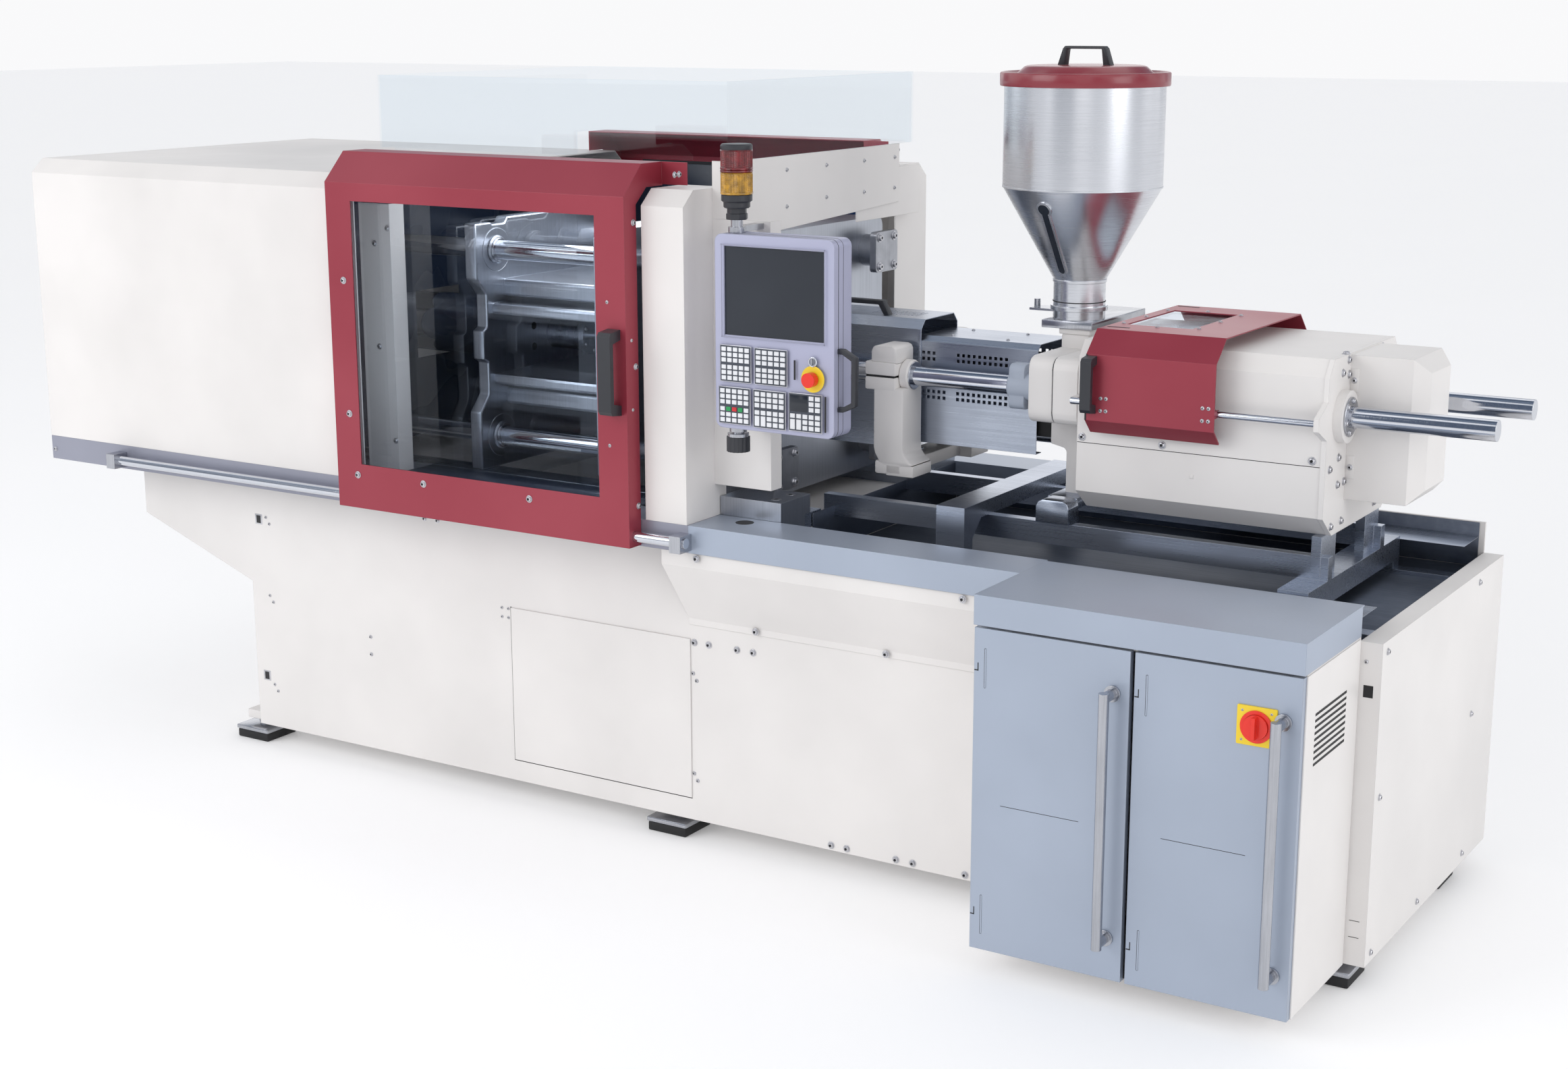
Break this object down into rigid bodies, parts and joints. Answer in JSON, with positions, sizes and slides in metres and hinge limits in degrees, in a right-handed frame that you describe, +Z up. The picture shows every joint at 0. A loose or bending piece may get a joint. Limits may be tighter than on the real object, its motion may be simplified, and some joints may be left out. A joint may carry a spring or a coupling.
{
  "type": "injection moulding machine",
  "caption": "Horizontal injection moulding machine with a guarded clamp unit, a sliding injection unit with hopper, an operator panel and a control cabinet.",
  "frame": {"origin": "on the floor, under the centre of the machine's bounding box", "axes": "+X from the clamp end to the injection end, +Y from the operator to the rear, +Z up"},
  "size_m": [4.285, 1.594, 2.102],
  "materials": {
    "white_paint": "off-white powder coat",
    "red_paint": "dark red powder coat",
    "blue_grey_paint": "blue-grey powder coat",
    "rail_grey_paint": "grey powder coat",
    "panel_grey_paint": "lavender-grey coat",
    "machined_steel": "machined",
    "blued_sheet": "blue-grey sheet",
    "ground_bar": "ground and chromed",
    "zinc_screw": "zinc plated",
    "hopper_sheet": "brushed stainless",
    "red_lid_paint": "dark red coat",
    "black_moulding": "black moulded",
    "feet": "steel plate on a black pad",
    "clear_sheet": "clear sheet",
    "screen": "dark glossy display",
    "lamp": "amber and red lenses, black base",
    "stop_red": "red moulded",
    "switch_red": "red moulded"
  },
  "bodies": {
    "machine": {"base_frame": "white_paint", "bed_rails": "machined_steel", "door_rails": "rail_grey_paint", "bed_cap": "blue_grey_paint", "slant_cover": "white_paint", "levelling_feet": "feet", "fixed_platen": "machined_steel", "tie_bars": "ground_bar", "tie_bar_plates": "machined_steel", "cylinder_platen": "machined_steel", "clamp_cover": "white_paint", "column_cover": "white_paint", "clamp_shield": "white_paint", "side_guard": "white_paint", "guard_windows": "clear_sheet", "door_guide_rods": "ground_bar", "rod_clamps": "zinc_screw", "panel_mount": "white_paint", "panel_post": "zinc_screw", "signal_lamp": "lamp", "injection_rods": "ground_bar", "cabinet_body": "white_paint", "cabinet_cap": "blue_grey_paint", "end_cabinet": "white_paint", "machine_screws": "zinc_screw"},
    "front_door": {"door_frame": "red_paint", "door_window": "clear_sheet", "door_handle": "black_moulding"},
    "rear_door": {"rear_door_frame": "red_paint", "rear_door_window": "clear_sheet"},
    "base_hatch": {"access_panel": "white_paint"},
    "clamp_platen": {"moving_platen": "machined_steel", "clamp_piston": "ground_bar", "ejector_cylinder": "machined_steel"},
    "ejector": {"ejector_rod": "ground_bar"},
    "operator_panel": {"panel_housing": "panel_grey_paint", "panel_screen": "screen"},
    "stop_button": {"estop_button": "stop_red"},
    "mode_key": {"key_switch": "ground_bar"},
    "injection_unit": {"carriage_frame": "machined_steel", "feed_housing": "white_paint", "barrel": "machined_steel", "barrel_shroud": "blued_sheet", "drive_housing": "white_paint", "end_plate": "white_paint", "motor_cover": "black_moulding", "front_bracket": "white_paint"},
    "front_shroud": {"nozzle_guard": "blued_sheet"},
    "sliding_cover": {"drive_cover": "red_paint", "cover_handle": "black_moulding"},
    "hopper": {"hopper": "hopper_sheet"},
    "gate": {"hopper_gate": "hopper_sheet"},
    "lid": {"hopper_lid": "red_lid_paint"},
    "screw_drive": {"drive_shaft": "ground_bar"},
    "screw": {"plasticising_screw": "ground_bar"},
    "left_cabinet_door": {"cabinet_door_left": "blue_grey_paint", "cabinet_handle_left": "black_moulding"},
    "right_cabinet_door": {"cabinet_door_right": "blue_grey_paint", "cabinet_handle_right": "black_moulding"},
    "main_switch": {"main_switch": "switch_red"}
  },
  "joints": [
    {"name": "front_door_slide", "type": "slide", "parent": "machine", "child": "front_door", "axis": [1, 0, 0], "range_m": [-0.86, 0]},
    {"name": "rear_door_slide", "type": "slide", "parent": "machine", "child": "rear_door", "axis": [1, 0, 0], "range_m": [-0.86, 0]},
    {"name": "hatch_hinge", "type": "hinge", "parent": "machine", "child": "base_hatch", "pos_m": [0.16, -0.3803, 0.345], "axis": [0, 0, 1], "range_deg": [0, 110]},
    {"name": "clamp_stroke", "type": "slide", "parent": "machine", "child": "clamp_platen", "axis": [1, 0, 0], "range_m": [-0.35, 0.14]},
    {"name": "ejector_stroke", "type": "slide", "parent": "clamp_platen", "child": "ejector", "axis": [1, 0, 0], "range_m": [0, 0.08]},
    {"name": "panel_swing", "type": "hinge", "parent": "machine", "child": "operator_panel", "pos_m": [0.387, -0.485, 1.42], "axis": [0, 0, 1], "range_deg": [-90, 30]},
    {"name": "stop_press", "type": "slide", "parent": "operator_panel", "child": "stop_button", "axis": [0, 1, 0], "range_m": [0, 0.005], "stiffness_N_per_m": 1500},
    {"name": "key_turn", "type": "hinge", "parent": "operator_panel", "child": "mode_key", "pos_m": [0.635, -0.527, 1.366], "axis": [0, 1, 0], "range_deg": [0, 90]},
    {"name": "nozzle_stroke", "type": "slide", "parent": "machine", "child": "injection_unit", "axis": [1, 0, 0], "range_m": [-0.04, 0.15]},
    {"name": "front_shroud_slide", "type": "slide", "parent": "injection_unit", "child": "front_shroud", "axis": [1, 0, 0], "range_m": [0, 0.18]},
    {"name": "drive_cover_slide", "type": "slide", "parent": "injection_unit", "child": "sliding_cover", "axis": [1, 0, 0], "range_m": [0, 0.22]},
    {"name": "hopper_shift", "type": "slide", "parent": "injection_unit", "child": "hopper", "axis": [0, 1, 0], "range_m": [0, 0.18]},
    {"name": "gate_pull", "type": "slide", "parent": "hopper", "child": "gate", "axis": [-1, 0, 0], "range_m": [0, 0.09]},
    {"name": "lid_lift", "type": "slide", "parent": "hopper", "child": "lid", "axis": [0, 0, 1], "range_m": [0, 0.15]},
    {"name": "screw_stroke", "type": "slide", "parent": "injection_unit", "child": "screw_drive", "axis": [1, 0, 0], "range_m": [0, 0.12]},
    {"name": "screw_turn", "type": "hinge", "parent": "screw_drive", "child": "screw", "pos_m": [0.7, 0.118, 1.266], "axis": [1, 0, 0], "continuous": true},
    {"name": "left_cabinet_hinge", "type": "hinge", "parent": "machine", "child": "left_cabinet_door", "pos_m": [1.189, -0.737, 0.447], "axis": [0, 0, -1], "range_deg": [0, 110]},
    {"name": "right_cabinet_hinge", "type": "hinge", "parent": "machine", "child": "right_cabinet_door", "pos_m": [1.581, -0.737, 0.447], "axis": [0, 0, -1], "range_deg": [0, 110]},
    {"name": "main_switch_turn", "type": "hinge", "parent": "right_cabinet_door", "child": "main_switch", "pos_m": [1.863, -0.737, 0.714], "axis": [0, 1, 0], "range_deg": [0, 90]}
  ]
}
